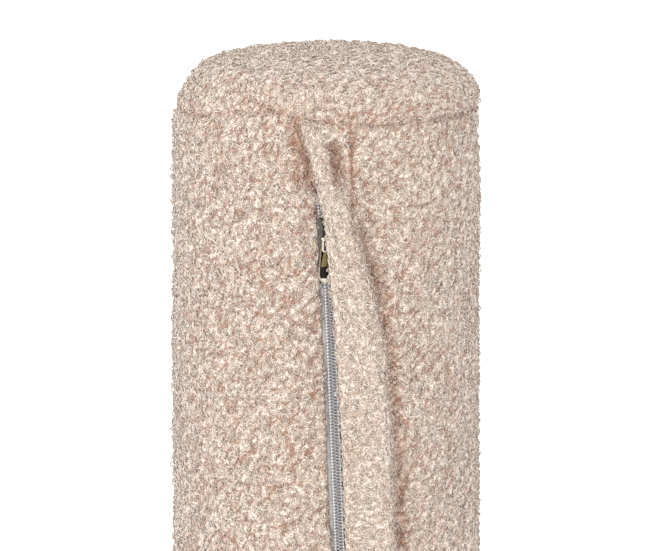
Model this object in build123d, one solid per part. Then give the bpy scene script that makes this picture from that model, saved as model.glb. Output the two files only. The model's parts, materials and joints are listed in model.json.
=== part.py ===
from build123d import *
from math import radians, sin, sqrt
import os

# A round bolster pillow that stands on one end: a boucle cover with a lapped zip down its side, over a foam
# pad. Millimetres, +Z up, origin at the centre of the face it stands on. The zip faces -Y.

# Cover
COVER_DIAMETER = 150.0
PILLOW_LENGTH = 500.0
FABRIC = 2.5
CROWN_RADIUS = 200.0  # of the domed top
SHOULDER_RADIUS = 25.0  # between the tube and the domed top
FOOT_RADIUS = 18.0  # between the tube and the flat face it stands on
TOP_SEAM_RISE = 12.0  # from the start of the shoulder up to the seam
BOTTOM_SEAM_HEIGHT = 12.0

# Pad
PAD_GAP = 0.3  # between cover and pad
LAYER_GAP = 0.1  # between the layers of the pad
CASE_THICKNESS = 0.8
WADDING_THICKNESS = 9.0
WADDING_END = 10.0  # of wadding under the foam core
WADDING_CROWN = 8.0  # from the start of the shoulder down to the top of the foam core

# Zip. Heights are measured outwards from the middle of the tapes.
ZIP_MARGIN = 50.0  # from each end of the pillow to a tack
ZIP_SLANT = 2.3  # degrees that the chain leans from the pillow's axis
END_CLEARANCE = 5.0  # from each tack to the end of the slit
TAPE_TAIL = 8.0  # of tape past the end of the slit
TAPE_WIDTH = 13.4  # of one tape
TAPE_THICKNESS = 0.6
TAPE_MARGIN = 0.3  # from the tapes to the edge of the flat
TAPE_EDGE = 0.1  # from the centre line to the edge of a closed tape
COIL_PITCH = 1.55
COIL_HEIGHT = 2.0
TOOTH_THICKNESS = 0.6
TOOTH_REACH = 0.75  # past the centre line
TOOTH_CLEARANCE = 0.1
COIL_WIDTH = 1.95  # behind the teeth
CORD_WIDTH = 1.0
STITCH_WIDTH = 0.6
STITCH_HEIGHT = 0.25
TACK_WIDTH = 9.2
TACK_LENGTH = 2.0
TACK_HEIGHT = 0.55

# Slider
SLIDER_DROP = 25.0  # from the top tack down to the slider's centre
SLIDER_LENGTH = 13.0
SLIDER_WALL = 0.9
FLANGE = 0.5
RUN_CLEARANCE = 0.15
BACK_CLEARANCE = 0.4  # from the tapes to the slider's back plate
PAD_CLEARANCE = 0.6  # from the back plate to the pad
SIDE_CLEARANCE = 0.45  # from the slider to the edge of the slit
POST_WIDTH = 1.2
SLOPE = 3.0  # the coils part between this far below and above the slider's centre
OPEN_GAP = 1.9  # how far each coil lies from the centre where the open stretch is widest
TACKED_GAP = 0.9  # the same at the top tack
WIDEST = 0.55  # of the way from the slider's centre to the top tack
GATHERED = 0.95  # of the same way, where the tack starts to hold the coils
CAP_LENGTH = 10.0
CAP_WIDTH = 3.0
CAP_WALL = 0.6
CAP_LEG = 0.8
PAWL_WIDTH = 1.4
PAWL_THICKNESS = 0.4
PAWL_LIFT = 0.45
PAWL_TOOTH = 0.6
PAWL_TOOTH_PLACE = -1.2  # from the slider's centre
PULLER_LENGTH = 21.7
PULLER_WIDTH = 8.8
PULLER_TOP_WIDTH = 6.2
PULLER_THICKNESS = 1.2
PULLER_TILT = 3.0  # degrees that the puller hangs off the line of the chain
BAR_DIAMETER = 1.3
PULLER_EYE_LENGTH = 5.2
PULLER_EYE_CLEARANCE = 0.4
PULLER_EYE_ROUND = 0.4
PULLER_TOP_TRIM = 0.2  # of plate above the middle of the bar, so that the bar alone turns under the pawl
BAR_PLAY = 0.35  # from the bar to the cap's lower leg

# Flap
FLAP_THICKNESS = 4.2
FLAP_WIDTH = 20.5  # from the chain to the hinge line
FLAP_BEND = 10.0  # from the chain to where the flap starts to drop to its hinge
FLAP_EDGE = 3.0  # how far right of the chain the free edge lies at mid length
FLAP_END_LAP = 9.0  # how much further the flap reaches across the chain at its ends
FLAP_CLEARANCE = 0.3
FLAP_END_GAP = 1.0  # past the slit

radius = COVER_DIAMETER / 2
crown_rise = CROWN_RADIUS - sqrt((CROWN_RADIUS - SHOULDER_RADIUS) ** 2 - (radius - SHOULDER_RADIUS) ** 2)
shoulder_start = PILLOW_LENGTH - crown_rise
top_seam = shoulder_start + TOP_SEAM_RISE

zip_length = PILLOW_LENGTH - 2 * ZIP_MARGIN  # between the tacks
slit_length = zip_length + 2 * END_CLEARANCE
tape_length = slit_length + 2 * TAPE_TAIL
tape_top = TAPE_THICKNESS / 2
tape_reach = TAPE_EDGE + TAPE_WIDTH
coil_inner = TOOTH_REACH + TOOTH_CLEARANCE
coil_outer = coil_inner + COIL_WIDTH
coil_top = tape_top + COIL_HEIGHT
stitch_top = coil_top + STITCH_HEIGHT
part_gap = POST_WIDTH / 2 + TOOTH_REACH + TOOTH_CLEARANCE  # how far each coil parts at the post
slider_wide = coil_outer + part_gap + RUN_CLEARANCE + FLANGE
slider_narrow = coil_outer + RUN_CLEARANCE + FLANGE
slit_half = slider_wide + SIDE_CLEARANCE
plate_low = stitch_top + RUN_CLEARANCE
plate_top = plate_low + SLIDER_WALL
back_low = -tape_top - BACK_CLEARANCE - SLIDER_WALL
back_top = back_low + SLIDER_WALL
bar_height = plate_top + RUN_CLEARANCE + BAR_DIAMETER / 2
pawl_low = bar_height + BAR_DIAMETER / 2 + RUN_CLEARANCE
pawl_top = pawl_low + PAWL_THICKNESS
cap_inner = pawl_top + PAWL_LIFT + 0.1
cap_top = cap_inner + CAP_WALL

# The zip lies in a flat that is pressed into the round tube, wide enough for the leaning tapes.
lean = sin(radians(ZIP_SLANT))
flat_half = tape_reach + lean * tape_length / 2 + TAPE_MARGIN
inner_flat = sqrt((radius - FABRIC) ** 2 - flat_half**2)
zip_plane = inner_flat - tape_top
case_flat = zip_plane + back_low - PAD_CLEARANCE
ZIP_PLACE = Pos(0, -zip_plane, PILLOW_LENGTH / 2) * Rot(0, -ZIP_SLANT, 0)

top_tack = zip_length / 2  # along the chain, from mid length
slider_place = top_tack - SLIDER_DROP
SLIDER_PLACE = ZIP_PLACE * Pos(0, 0, slider_place)


def filled(inset, flat):
    """The whole pillow's outline, that far inside its outer face, with the zip's flat that far from the axis."""
    shoulder = Vector(radius - SHOULDER_RADIUS, 0, shoulder_start)
    crown = Vector(0, 0, PILLOW_LENGTH - CROWN_RADIUS)
    join = crown + (shoulder - crown).normalized() * (CROWN_RADIUS - inset)
    foot = Vector(radius - FOOT_RADIUS, 0, inset)
    side = radius - inset
    turn = Vector(side, 0, FOOT_RADIUS)
    rise = Vector(side, 0, shoulder_start)
    tip = Vector(0, 0, PILLOW_LENGTH - inset)
    edges = [
        Line((0, 0, inset), foot),
        TangentArc(foot, turn, tangent=(1, 0, 0)),
        Line(turn, rise),
        TangentArc(rise, join, tangent=(0, 0, 1)),
        TangentArc(tip, join, tangent=(1, 0, 0)),
        Line(tip, (0, 0, inset)),
    ]
    round_form = revolve(make_face(Wire(edges)), Axis.Z)
    return round_form - Pos(0, -flat - radius, PILLOW_LENGTH / 2) * Box(3 * radius, 2 * radius, 2 * PILLOW_LENGTH)


def between(shape, low, high):
    """The part of a shape between two heights."""
    return shape & Pos(0, 0, (low + high) / 2) * Box(3 * radius, 3 * radius, high - low)


def prism(points, low, high):
    """A plate in the zip's plane from its outline, between two heights above the tapes."""
    outline = Polyline([(across, -low, along) for across, along in points], close=True)
    return extrude(make_face(outline), amount=high - low, dir=(0, -1, 0))


def block(across, along, heights):
    """A rectangular block in the zip's plane, from its two limits each way."""
    (left, right), (bottom, top) = across, along
    return prism([(left, bottom), (right, bottom), (right, top), (left, top)], *heights)


def mirrored(shape):
    return mirror(shape, Plane.YZ)


# The coils' path: places along the chain from mid length, and how far each coil lies there from its closed place.
KNOTS = [
    (slider_place - SLOPE, 0.0),
    (slider_place + SLOPE, part_gap),
    (slider_place + SLIDER_LENGTH / 2, part_gap),
    (slider_place + WIDEST * SLIDER_DROP, OPEN_GAP),
    (slider_place + GATHERED * SLIDER_DROP, TACKED_GAP),
]


def parting(along):
    """How far each coil lies from its closed place, at a distance along the chain from mid length."""
    if along <= KNOTS[0][0]:
        return 0.0
    for (start, low), (end, high) in zip(KNOTS, KNOTS[1:]):
        if along <= end:
            return low + (high - low) * (along - start) / (end - start)
    return TACKED_GAP


def bends(bottom, top):
    """The two ends of a zip piece, and the places between them where the coils change direction."""
    return [bottom, *[place for place, _ in KNOTS if bottom < place < top], top]


def strip(inner, outer, heights, half, follows=True):
    """A strip beside the chain, on its right, whose outer edge may stay straight."""
    places = bends(-half, half)
    near = [(inner + parting(place), place) for place in places]
    far = [(outer + (parting(place) if follows else 0.0), place) for place in reversed(places)]
    return prism(near + far, *heights)


# Cover


def make_cover():
    shell = filled(0, inner_flat + FABRIC) - filled(FABRIC, inner_flat)
    slit = ZIP_PLACE * block((-slit_half, slit_half), (-slit_length / 2, slit_length / 2), (-FABRIC, 3 * FABRIC))
    return {
        "cover_tube_panel": between(shell, BOTTOM_SEAM_HEIGHT, top_seam) - slit,
        "cover_end_top": between(shell, top_seam, PILLOW_LENGTH + 1),
        "cover_end_bottom": between(shell, -1, BOTTOM_SEAM_HEIGHT),
    }


# Pad


def make_pad():
    case_outside = FABRIC + PAD_GAP
    case_inside = case_outside + CASE_THICKNESS
    wadding_outside = case_inside + LAYER_GAP
    case = filled(case_outside, case_flat) - filled(case_inside, case_flat - CASE_THICKNESS)
    case_top = top_seam - PAD_GAP
    case_bottom = BOTTOM_SEAM_HEIGHT + PAD_GAP
    wadding_flat = case_flat - CASE_THICKNESS - LAYER_GAP
    wadding = filled(wadding_outside, wadding_flat)
    core_radius = wadding_flat - WADDING_THICKNESS + 2.0
    core_bottom = wadding_outside + WADDING_END
    core_top = shoulder_start - WADDING_CROWN
    core_height = core_top - core_bottom
    bore = Pos(0, 0, (core_bottom + core_top) / 2) * Cylinder(core_radius + LAYER_GAP, 2 * PILLOW_LENGTH)
    core = Pos(0, 0, (core_bottom + core_top) / 2) * Cylinder(core_radius, core_height)
    return {
        "inner_case_tube": between(case, case_bottom, case_top),
        "inner_case_end_top": between(case, case_top, PILLOW_LENGTH),
        "inner_case_end_bottom": between(case, 0, case_bottom),
        "wadding_disc_top": between(wadding, core_top + LAYER_GAP, PILLOW_LENGTH),
        "wadding_disc_bottom": between(wadding, 0, core_bottom - LAYER_GAP),
        "wadding_wrap": between(wadding, core_bottom, core_top) - bore,
        "foam_core": core,
    }


# Zip


def make_coil(phase):
    """The right coil: a comb whose teeth pass the centre line, with a channel for the filler cord."""
    half = top_tack + TACK_LENGTH
    places = bends(-half, half)
    back = [(coil_outer + parting(place), place) for place in places]
    teeth = []
    count = int(2 * half / COIL_PITCH) - 2
    for i in range(count, 0, -1):
        place = -half + (i + phase) * COIL_PITCH
        tip = -TOOTH_REACH + parting(place)
        root = coil_inner + parting(place)
        low = place - TOOTH_THICKNESS / 2
        high = place + TOOTH_THICKNESS / 2
        teeth += [(root, high), (tip, high), (tip, low), (root, low)]
    top_end = (coil_inner + parting(half), half)
    bottom_end = (coil_inner, -half)
    return prism([*back, top_end, *teeth, bottom_end], tape_top, coil_top) - make_cord(half + 1)


def make_cord(half):
    middle = (coil_inner + coil_outer) / 2
    heights = (tape_top + (COIL_HEIGHT - CORD_WIDTH) / 2, coil_top - (COIL_HEIGHT - CORD_WIDTH) / 2)
    return strip(middle - CORD_WIDTH / 2, middle + CORD_WIDTH / 2, heights, half)


def make_tack(place):
    """A thread bar over both coils, with a leg down to the tape on each side."""
    along = (place - TACK_LENGTH / 2, place + TACK_LENGTH / 2)
    half = TACK_WIDTH / 2
    bar = block((-half, half), along, (stitch_top, stitch_top + TACK_HEIGHT))
    leg = block((half - TACK_HEIGHT, half), along, (tape_top, stitch_top + TACK_HEIGHT))
    return bar + leg + mirrored(leg)


def make_zip():
    middle = (coil_inner + coil_outer) / 2
    stitch = (middle - STITCH_WIDTH / 2, middle + STITCH_WIDTH / 2)
    half = top_tack + TACK_LENGTH
    pieces = {}
    for name, piece in {
        "zip_tape": strip(TAPE_EDGE, tape_reach, (-tape_top, tape_top), tape_length / 2, follows=False),
        "zip_cord": make_cord(half),
        "zip_stitching": strip(*stitch, (coil_top, stitch_top), half),
    }.items():
        pieces[name + "_right"] = ZIP_PLACE * piece
        pieces[name + "_left"] = ZIP_PLACE * mirrored(piece)
    pieces["zip_coil_right"] = ZIP_PLACE * make_coil(0.0)
    pieces["zip_coil_left"] = ZIP_PLACE * mirrored(make_coil(0.5))
    pieces["zip_tack_top"] = ZIP_PLACE * make_tack(top_tack + TACK_LENGTH / 2)
    pieces["zip_tack_bottom"] = ZIP_PLACE * make_tack(-top_tack - TACK_LENGTH / 2)
    return pieces


# Slider. Its pieces are drawn about the slider's centre, with +Z up the chain.


def slider_outline(inset):
    """The slider's outline seen from the front, wider where the coils are parted."""
    half = SLIDER_LENGTH / 2
    right = [
        (slider_narrow - inset, -half),
        (slider_narrow - inset, -SLOPE),
        (slider_wide - inset, SLOPE),
        (slider_wide - inset, half),
    ]
    return right + [(-across, along) for across, along in reversed(right)]


def make_slider_body():
    back = prism(slider_outline(0), back_low, back_top)
    front = prism(slider_outline(0), plate_low, plate_top)
    rims = prism(slider_outline(0), tape_top + 2 * RUN_CLEARANCE, plate_low)
    lips = prism(slider_outline(0), back_top, back_top + RUN_CLEARANCE)
    hollow = prism(slider_outline(FLANGE), back_top, plate_low)
    end = 2 * SLIDER_LENGTH
    ends = block((-slider_narrow + FLANGE, slider_narrow - FLANGE), (-end, end), (back_top, plate_low))
    half = POST_WIDTH / 2
    right = [(0, 1.4), (half - 0.05, 3.4), (half, 4.5), (0.6 * half, 6.0)]
    post = prism(right + [(-across, along) for across, along in reversed(right[1:])], back_top, plate_low)
    window_half = PAWL_WIDTH / 2 + 0.2
    tooth = PAWL_TOOTH_PLACE
    along = (tooth - PAWL_TOOTH / 2 - 0.25, tooth + PAWL_TOOTH / 2 + 0.25)
    window = block((-window_half, window_half), along, (plate_low - 0.1, plate_top + 0.1))
    return back + front + (rims + lips - hollow - ends) + post - window


def upright(points, width):
    """A piece of even width across the chain, from its side outline along and above the chain."""
    outline = Polyline([(0, -height, along) for along, height in points], close=True)
    return extrude(make_face(outline), amount=width / 2, dir=(1, 0, 0), both=True)


def make_cap():
    half = CAP_LENGTH / 2
    inside = half - CAP_LEG
    slope = 0.9
    return upright(
        [
            (-half, plate_top),
            (-half, cap_top - slope),
            (-half + slope, cap_top),
            (half - slope, cap_top),
            (half, cap_top - slope),
            (half, plate_top),
            (inside, plate_top),
            (inside, cap_inner),
            (-inside, cap_inner),
            (-inside, plate_top),
        ],
        CAP_WIDTH,
    )


def make_pawl():
    reach = CAP_LENGTH / 2 - CAP_LEG - 0.3
    tooth = (PAWL_TOOTH_PLACE - PAWL_TOOTH / 2, PAWL_TOOTH_PLACE + PAWL_TOOTH / 2)
    foot = plate_top + RUN_CLEARANCE
    point = stitch_top - 0.1
    return upright(
        [
            (-reach, pawl_low),
            (tooth[0], pawl_low),
            (tooth[0], point),
            (tooth[1], point),
            (tooth[1], pawl_low),
            (reach - PAWL_TOOTH, pawl_low),
            (reach - PAWL_TOOTH, foot),
            (reach, foot),
            (reach, pawl_top),
            (-reach, pawl_top),
        ],
        PAWL_WIDTH,
    )


pivot_place = -(CAP_LENGTH / 2 - CAP_LEG - BAR_PLAY - BAR_DIAMETER / 2)  # from the slider's centre


def make_puller():
    """A teardrop plate that hangs from a round bar under the cap."""
    bottom = PULLER_WIDTH / 2
    shoulder = BAR_DIAMETER / 2
    top = PULLER_TOP_WIDTH / 2 - shoulder
    rounds = [
        CenterArc((-top, 0), shoulder, 0, 360),
        CenterArc((top, 0), shoulder, 0, 360),
        CenterArc((0, bottom - PULLER_LENGTH), bottom, 0, 360),
    ]
    eye_half = CAP_WIDTH / 2 + PULLER_EYE_CLEARANCE
    eye_middle = -BAR_DIAMETER / 2 - PULLER_EYE_LENGTH / 2
    eye = Pos(0, eye_middle) * RectangleRounded(2 * eye_half, PULLER_EYE_LENGTH, PULLER_EYE_ROUND)
    above_bar = Pos(0, PULLER_TOP_TRIM + PULLER_LENGTH / 2) * Rectangle(2 * PULLER_WIDTH, PULLER_LENGTH)
    outline = make_hull(rounds) - eye - above_bar
    plate = extrude(Plane.XZ * outline, amount=PULLER_THICKNESS / 2, both=True)
    bar = Rot(0, 90, 0) * Cylinder(BAR_DIAMETER / 2, PULLER_TOP_WIDTH)
    return Pos(0, -bar_height, pivot_place) * Rot(0, PULLER_TILT, 0) * (plate + bar)


def make_slider():
    pieces = {
        "slider_body": make_slider_body(),
        "slider_cap": make_cap(),
        "lock_pawl": make_pawl(),
        "puller": make_puller(),
    }
    return {name: SLIDER_PLACE * piece for name, piece in pieces.items()}


# Flap

flap_low = cap_top + FLAP_CLEARANCE
flap_root_low = tape_top + FABRIC + FLAP_CLEARANCE
hinge_height = flap_root_low + FLAP_THICKNESS / 2
flap_half_length = slit_length / 2 + FLAP_END_GAP


def flap_edge(along):
    """Where the flap's free edge lies across the chain: further over it towards the ends."""
    return FLAP_EDGE - FLAP_END_LAP * (along / flap_half_length) ** 4


def make_flap():
    """A thick folded strip that stands over the slider and drops to a rounded root, its hinge line."""
    far = -(FLAP_EDGE + FLAP_END_LAP)
    top_root = hinge_height + FLAP_THICKNESS / 2
    section = Polyline(
        [
            (far, -flap_low, 0),
            (FLAP_BEND, -flap_low, 0),
            (FLAP_WIDTH, -flap_root_low, 0),
            (FLAP_WIDTH, -top_root, 0),
            (FLAP_BEND, -flap_low - FLAP_THICKNESS, 0),
            (far, -flap_low - FLAP_THICKNESS, 0),
        ],
        close=True,
    )
    strip_solid = extrude(make_face(section), amount=flap_half_length, dir=(0, 0, 1), both=True)
    steps = [flap_half_length * step / 4 for step in range(-4, 5)]
    edge = Spline([(flap_edge(along), 0, along) for along in steps])
    right = 2 * FLAP_WIDTH
    bottom_line = Line((right, 0, -flap_half_length), edge @ 0)
    top_line = Line(edge @ 1, (right, 0, flap_half_length))
    side = Line((right, 0, flap_half_length), (right, 0, -flap_half_length))
    plan = make_face(Wire([bottom_line, edge, top_line, side]))
    cutter = extrude(plan, amount=4 * FLAP_WIDTH, dir=(0, -1, 0))
    root = Pos(FLAP_WIDTH, -hinge_height, 0) * Cylinder(FLAP_THICKNESS / 2, 2 * flap_half_length)
    return {"zip_flap": ZIP_PLACE * ((strip_solid & cutter) + root)}


os.makedirs("parts", exist_ok=True)
nodes = {**make_cover(), **make_pad(), **make_zip(), **make_slider(), **make_flap()}
for node, shape in nodes.items():
    export_step(shape, f"parts/{node}.step")

hinge = (ZIP_PLACE * Pos(FLAP_WIDTH, -hinge_height, 0)).position
pivot = (SLIDER_PLACE * Pos(0, -bar_height, pivot_place)).position
low_end = top_tack - SLIDER_DROP + top_tack - SLIDER_LENGTH / 2
print("flap hinge", tuple(round(value, 3) for value in hinge))
print("puller pivot", tuple(round(value, 3) for value in pivot))
print("slider travel down", round(low_end, 2), "up", round(SLIDER_DROP - SLIDER_LENGTH / 2, 2))
print("top seam", round(top_seam, 2), "zip plane", round(zip_plane, 3))
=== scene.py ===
import json
import math
import bmesh
import bpy
import numpy as np
from mathutils import Matrix, Vector, noise


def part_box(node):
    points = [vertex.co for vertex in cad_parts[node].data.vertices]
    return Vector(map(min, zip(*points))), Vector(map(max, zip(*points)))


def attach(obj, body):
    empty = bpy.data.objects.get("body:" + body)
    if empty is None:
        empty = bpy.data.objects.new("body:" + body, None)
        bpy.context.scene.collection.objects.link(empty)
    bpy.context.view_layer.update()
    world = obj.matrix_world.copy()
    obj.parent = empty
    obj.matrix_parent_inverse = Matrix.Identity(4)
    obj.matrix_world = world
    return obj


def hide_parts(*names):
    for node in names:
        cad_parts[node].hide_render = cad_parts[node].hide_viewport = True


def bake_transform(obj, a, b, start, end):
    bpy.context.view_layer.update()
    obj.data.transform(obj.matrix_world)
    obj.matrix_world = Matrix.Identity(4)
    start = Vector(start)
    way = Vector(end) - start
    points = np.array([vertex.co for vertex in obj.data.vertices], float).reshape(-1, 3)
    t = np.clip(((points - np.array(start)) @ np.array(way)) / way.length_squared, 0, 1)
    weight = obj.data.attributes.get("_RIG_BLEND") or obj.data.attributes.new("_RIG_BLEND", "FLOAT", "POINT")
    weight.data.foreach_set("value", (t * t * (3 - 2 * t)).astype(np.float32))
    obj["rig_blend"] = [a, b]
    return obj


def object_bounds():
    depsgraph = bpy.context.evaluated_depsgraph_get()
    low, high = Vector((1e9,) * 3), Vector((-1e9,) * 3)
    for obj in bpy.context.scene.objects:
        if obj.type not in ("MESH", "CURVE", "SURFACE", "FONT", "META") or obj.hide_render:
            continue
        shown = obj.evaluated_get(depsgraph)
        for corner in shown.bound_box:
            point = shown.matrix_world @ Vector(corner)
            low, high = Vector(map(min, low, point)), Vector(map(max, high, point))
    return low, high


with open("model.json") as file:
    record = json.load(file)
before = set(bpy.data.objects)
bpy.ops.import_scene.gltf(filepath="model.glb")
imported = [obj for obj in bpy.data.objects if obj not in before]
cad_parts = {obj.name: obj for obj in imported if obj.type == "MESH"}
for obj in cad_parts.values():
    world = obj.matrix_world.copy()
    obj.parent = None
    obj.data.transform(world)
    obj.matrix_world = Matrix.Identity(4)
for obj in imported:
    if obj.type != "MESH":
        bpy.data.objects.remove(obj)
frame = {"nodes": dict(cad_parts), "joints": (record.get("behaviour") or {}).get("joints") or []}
cad_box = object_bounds()

# Studio. A long lens looks at the upper half of the standing pillow, a little from the left and from above.
# A white floor and a white room give flat light, and one large lamp on the left gives the folds a side.
VIEW_FROM = math.radians(-5.9)
VIEW_UP = math.radians(10.0)
CAMERA_DISTANCE = 3.0
LENS_MM = 338.8
AIM = Vector((-0.0006, 0, 0.3908))
FAR_CLIP = 100
ROOM_STRENGTH = 1.6
LAMP_PLACE = Vector((-1.3, -2.4, 1.1))
LAMP_AIM = Vector((0, 0, 0.3))
LAMP_SIZE = 1.2
LAMP_POWER = 20
FLOOR_HALF = 20

level = math.cos(VIEW_UP)
back = Vector((math.sin(VIEW_FROM) * level, -math.cos(VIEW_FROM) * level, math.sin(VIEW_UP)))
camera = bpy.data.objects.new("camera", bpy.data.cameras.new("camera"))
camera.data.lens = LENS_MM
camera.data.clip_end = FAR_CLIP
camera.location = AIM + back * CAMERA_DISTANCE
camera.rotation_euler = back.to_track_quat("Z", "Y").to_euler()
bpy.context.collection.objects.link(camera)
bpy.context.scene.camera = camera
bpy.context.scene.view_settings.view_transform = "Standard"

room = bpy.data.worlds.new("white_room")
room.use_nodes = True
room.node_tree.nodes["Background"].inputs["Color"].default_value = (1.0, 1.0, 1.0, 1.0)
room.node_tree.nodes["Background"].inputs["Strength"].default_value = ROOM_STRENGTH
bpy.context.scene.world = room

light = bpy.data.lights.new("left_lamp", "AREA")
light.size = LAMP_SIZE
light.energy = LAMP_POWER
lamp = bpy.data.objects.new("left_lamp", light)
lamp.location = LAMP_PLACE
lamp.rotation_euler = (LAMP_PLACE - LAMP_AIM).to_track_quat("Z", "Y").to_euler()
bpy.context.collection.objects.link(lamp)


def linear(hex_colour):
    """An sRGB hex colour as linear RGBA."""
    parts = [int(hex_colour[i : i + 2], 16) / 255 for i in (0, 2, 4)]
    return (*[c / 12.92 if c <= 0.04045 else ((c + 0.055) / 1.055) ** 2.4 for c in parts], 1.0)


def new_material(name, **constants):
    """A material with its tree, its shader and its Object coordinates, and numbers for the shader's sockets."""
    made = bpy.data.materials.new(name)
    made.use_nodes = True
    tree = made.node_tree
    shader = tree.nodes["Principled BSDF"]
    for key, value in constants.items():
        shader.inputs[key.replace("_", " ")].default_value = value
    coordinates = tree.nodes.new("ShaderNodeTexCoord")
    return made, tree, shader, coordinates.outputs["Object"]


# Matt white paint, rolled on a flat board. It gives the eye an even ground with only a soft contact shadow.
floor_paint = new_material("matt_white_studio_floor", Base_Color=linear("F7F7F7"), Roughness=0.9)[0]
bm = bmesh.new()
bmesh.ops.create_grid(bm, x_segments=1, y_segments=1, size=FLOOR_HALF)
mesh = bpy.data.meshes.new("floor")
bm.to_mesh(mesh)
bm.free()
mesh.materials.append(floor_paint)
floor = bpy.data.objects.new("floor", mesh)
bpy.context.collection.objects.link(floor)

# Pad. A round foam core in bonded polyester wadding, held in a sewn calico case. All of it is inside the cover,
# and it is what holds the pillow round.
MM = 0.001
FOAM_CELL_MM = 0.8
WADDING_FIBRE_MM = 1.2
CALICO_THREAD_MM = 0.5
# A wave node's bands lie this far apart at a scale of 1.
BAND_SPAN = 0.31


def add(tree, kind, settings=None, **links):
    """Adds a node. Settings name its properties, its inputs or a ramp's stops, and links join its inputs to
    sockets. A link's underscore is a space, or comes before an input's number."""
    node = tree.nodes.new("ShaderNode" + kind)
    for key, value in (settings or {}).items():
        if key == "stops":
            elements = node.color_ramp.elements
            for number, (position, colour) in enumerate(value):
                stop = elements[number] if number < 2 else elements.new(position)
                stop.position = position
                stop.color = linear(colour)
        elif isinstance(key, int) or key in node.inputs:
            node.inputs[key].default_value = value
        else:
            setattr(node, key, value)
    for key, socket in links.items():
        name = int(key[1:]) if key[1:].isdigit() else key.replace("_", " ")
        tree.links.new(socket, node.inputs[name])
    return node


def dress(material, *nodes):
    """Gives CAD nodes a material."""
    for name in nodes:
        for slot in frame["nodes"][name].material_slots:
            slot.link = "OBJECT"
            slot.material = material


# Polyurethane foam, cut from a block. Its open cells give a fine pitted face, with a little painted shade in each
# pit.
foam, tree, shader, place = new_material("open_cell_polyurethane_foam", Roughness=0.95)
cells = add(tree, "TexVoronoi", {"Scale": 1 / (FOAM_CELL_MM * MM)}, Vector=place)
# The cells' colour is painted shade, a little darker in each pit.
colour = add(tree, "ValToRGB", {"stops": ((0, "F3EBCB"), (1, "D9CC9C"))}, Fac=cells.outputs["Distance"])
tree.links.new(colour.outputs["Color"], shader.inputs["Base Color"])
pits = add(tree, "Bump", {"Strength": 0.6, "Distance": 0.0003}, Height=cells.outputs["Distance"])
tree.links.new(pits.outputs["Normal"], shader.inputs["Normal"])
dress(foam, "foam_core")

# Polyester wadding, carded and bonded with resin. It is a white felt of loose curled fibres.
wadding, tree, shader, place = new_material("bonded_polyester_wadding", Roughness=1.0)
settings = {"Scale": 1 / (WADDING_FIBRE_MM * MM), "Detail": 6.0, "Distortion": 3.0}
fibres = add(tree, "TexNoise", settings, Vector=place)
colour = add(tree, "ValToRGB", {"stops": ((0, "E3E3DF"), (1, "FBFBF8"))}, Fac=fibres.outputs["Fac"])
tree.links.new(colour.outputs["Color"], shader.inputs["Base Color"])
felt = add(tree, "Bump", {"Strength": 0.8, "Distance": 0.001}, Height=fibres.outputs["Fac"])
tree.links.new(felt.outputs["Normal"], shader.inputs["Normal"])
dress(wadding, "wadding_wrap", "wadding_disc_top", "wadding_disc_bottom")

# Unbleached cotton calico in plain weave. Its warp and weft cross as small pale squares on a cream ground.
calico, tree, shader, place = new_material("unbleached_plain_weave_calico", Roughness=0.85)
settings = {"Scale": BAND_SPAN / (CALICO_THREAD_MM * MM)}
warp = add(tree, "TexWave", {**settings, "bands_direction": "X"}, Vector=place)
weft = add(tree, "TexWave", {**settings, "bands_direction": "Z"}, Vector=place)
weave = add(tree, "Math", {"operation": "MULTIPLY"}, _0=warp.outputs["Fac"], _1=weft.outputs["Fac"])
colour = add(tree, "ValToRGB", {"stops": ((0, "D8D0BC"), (1, "EFE9DA"))}, Fac=weave.outputs["Value"])
tree.links.new(colour.outputs["Color"], shader.inputs["Base Color"])
threads = add(tree, "Bump", {"Strength": 0.5, "Distance": 0.0001}, Height=weave.outputs["Value"])
tree.links.new(threads.outputs["Normal"], shader.inputs["Normal"])
dress(calico, "inner_case_tube", "inner_case_end_top", "inner_case_end_bottom")

# Zip tapes and filler cords. Two woven polyester tapes are sewn behind the slit's edges, and a twisted cord runs
# inside each coil and is sewn down with it.
TAPE_THREAD_MM = 0.6
TWILL_LEAN = math.radians(-32)
DUST_MM = 10 / 3
CORD_TWIST_MM = 0.5
CORD_LEAN = math.radians(40)
slider_joint = next(joint for joint in frame["joints"] if joint["name"] == "slider_travel")
ALONG = -np.array(slider_joint["axis"], float)
ALONG /= np.linalg.norm(ALONG)
OUT = np.array((0.0, -1.0, 0.0))
ACROSS = np.cross(ALONG, OUT)
tape_low, tape_high = (np.array(corner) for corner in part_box("zip_tape_left"))
ZIP_ORIGIN = np.array((0.0, (tape_low[1] + tape_high[1]) / 2, (cad_box[0][2] + cad_box[1][2]) / 2))


def from_zip(across, out, along):
    """Points in the row frame from millimetres across the chain, out from the tapes and along the chain."""
    parts = [np.asarray(value, float)[..., None] * MM for value in (across, out, along)]
    return ZIP_ORIGIN + parts[0] * ACROSS + parts[1] * OUT + parts[2] * ALONG


def to_zip(points):
    """Points of the row frame as millimetres across the chain, out from the tapes and along the chain."""
    offset = (points - ZIP_ORIGIN) / MM
    return offset @ ACROSS, offset @ OUT, offset @ ALONG
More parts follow.
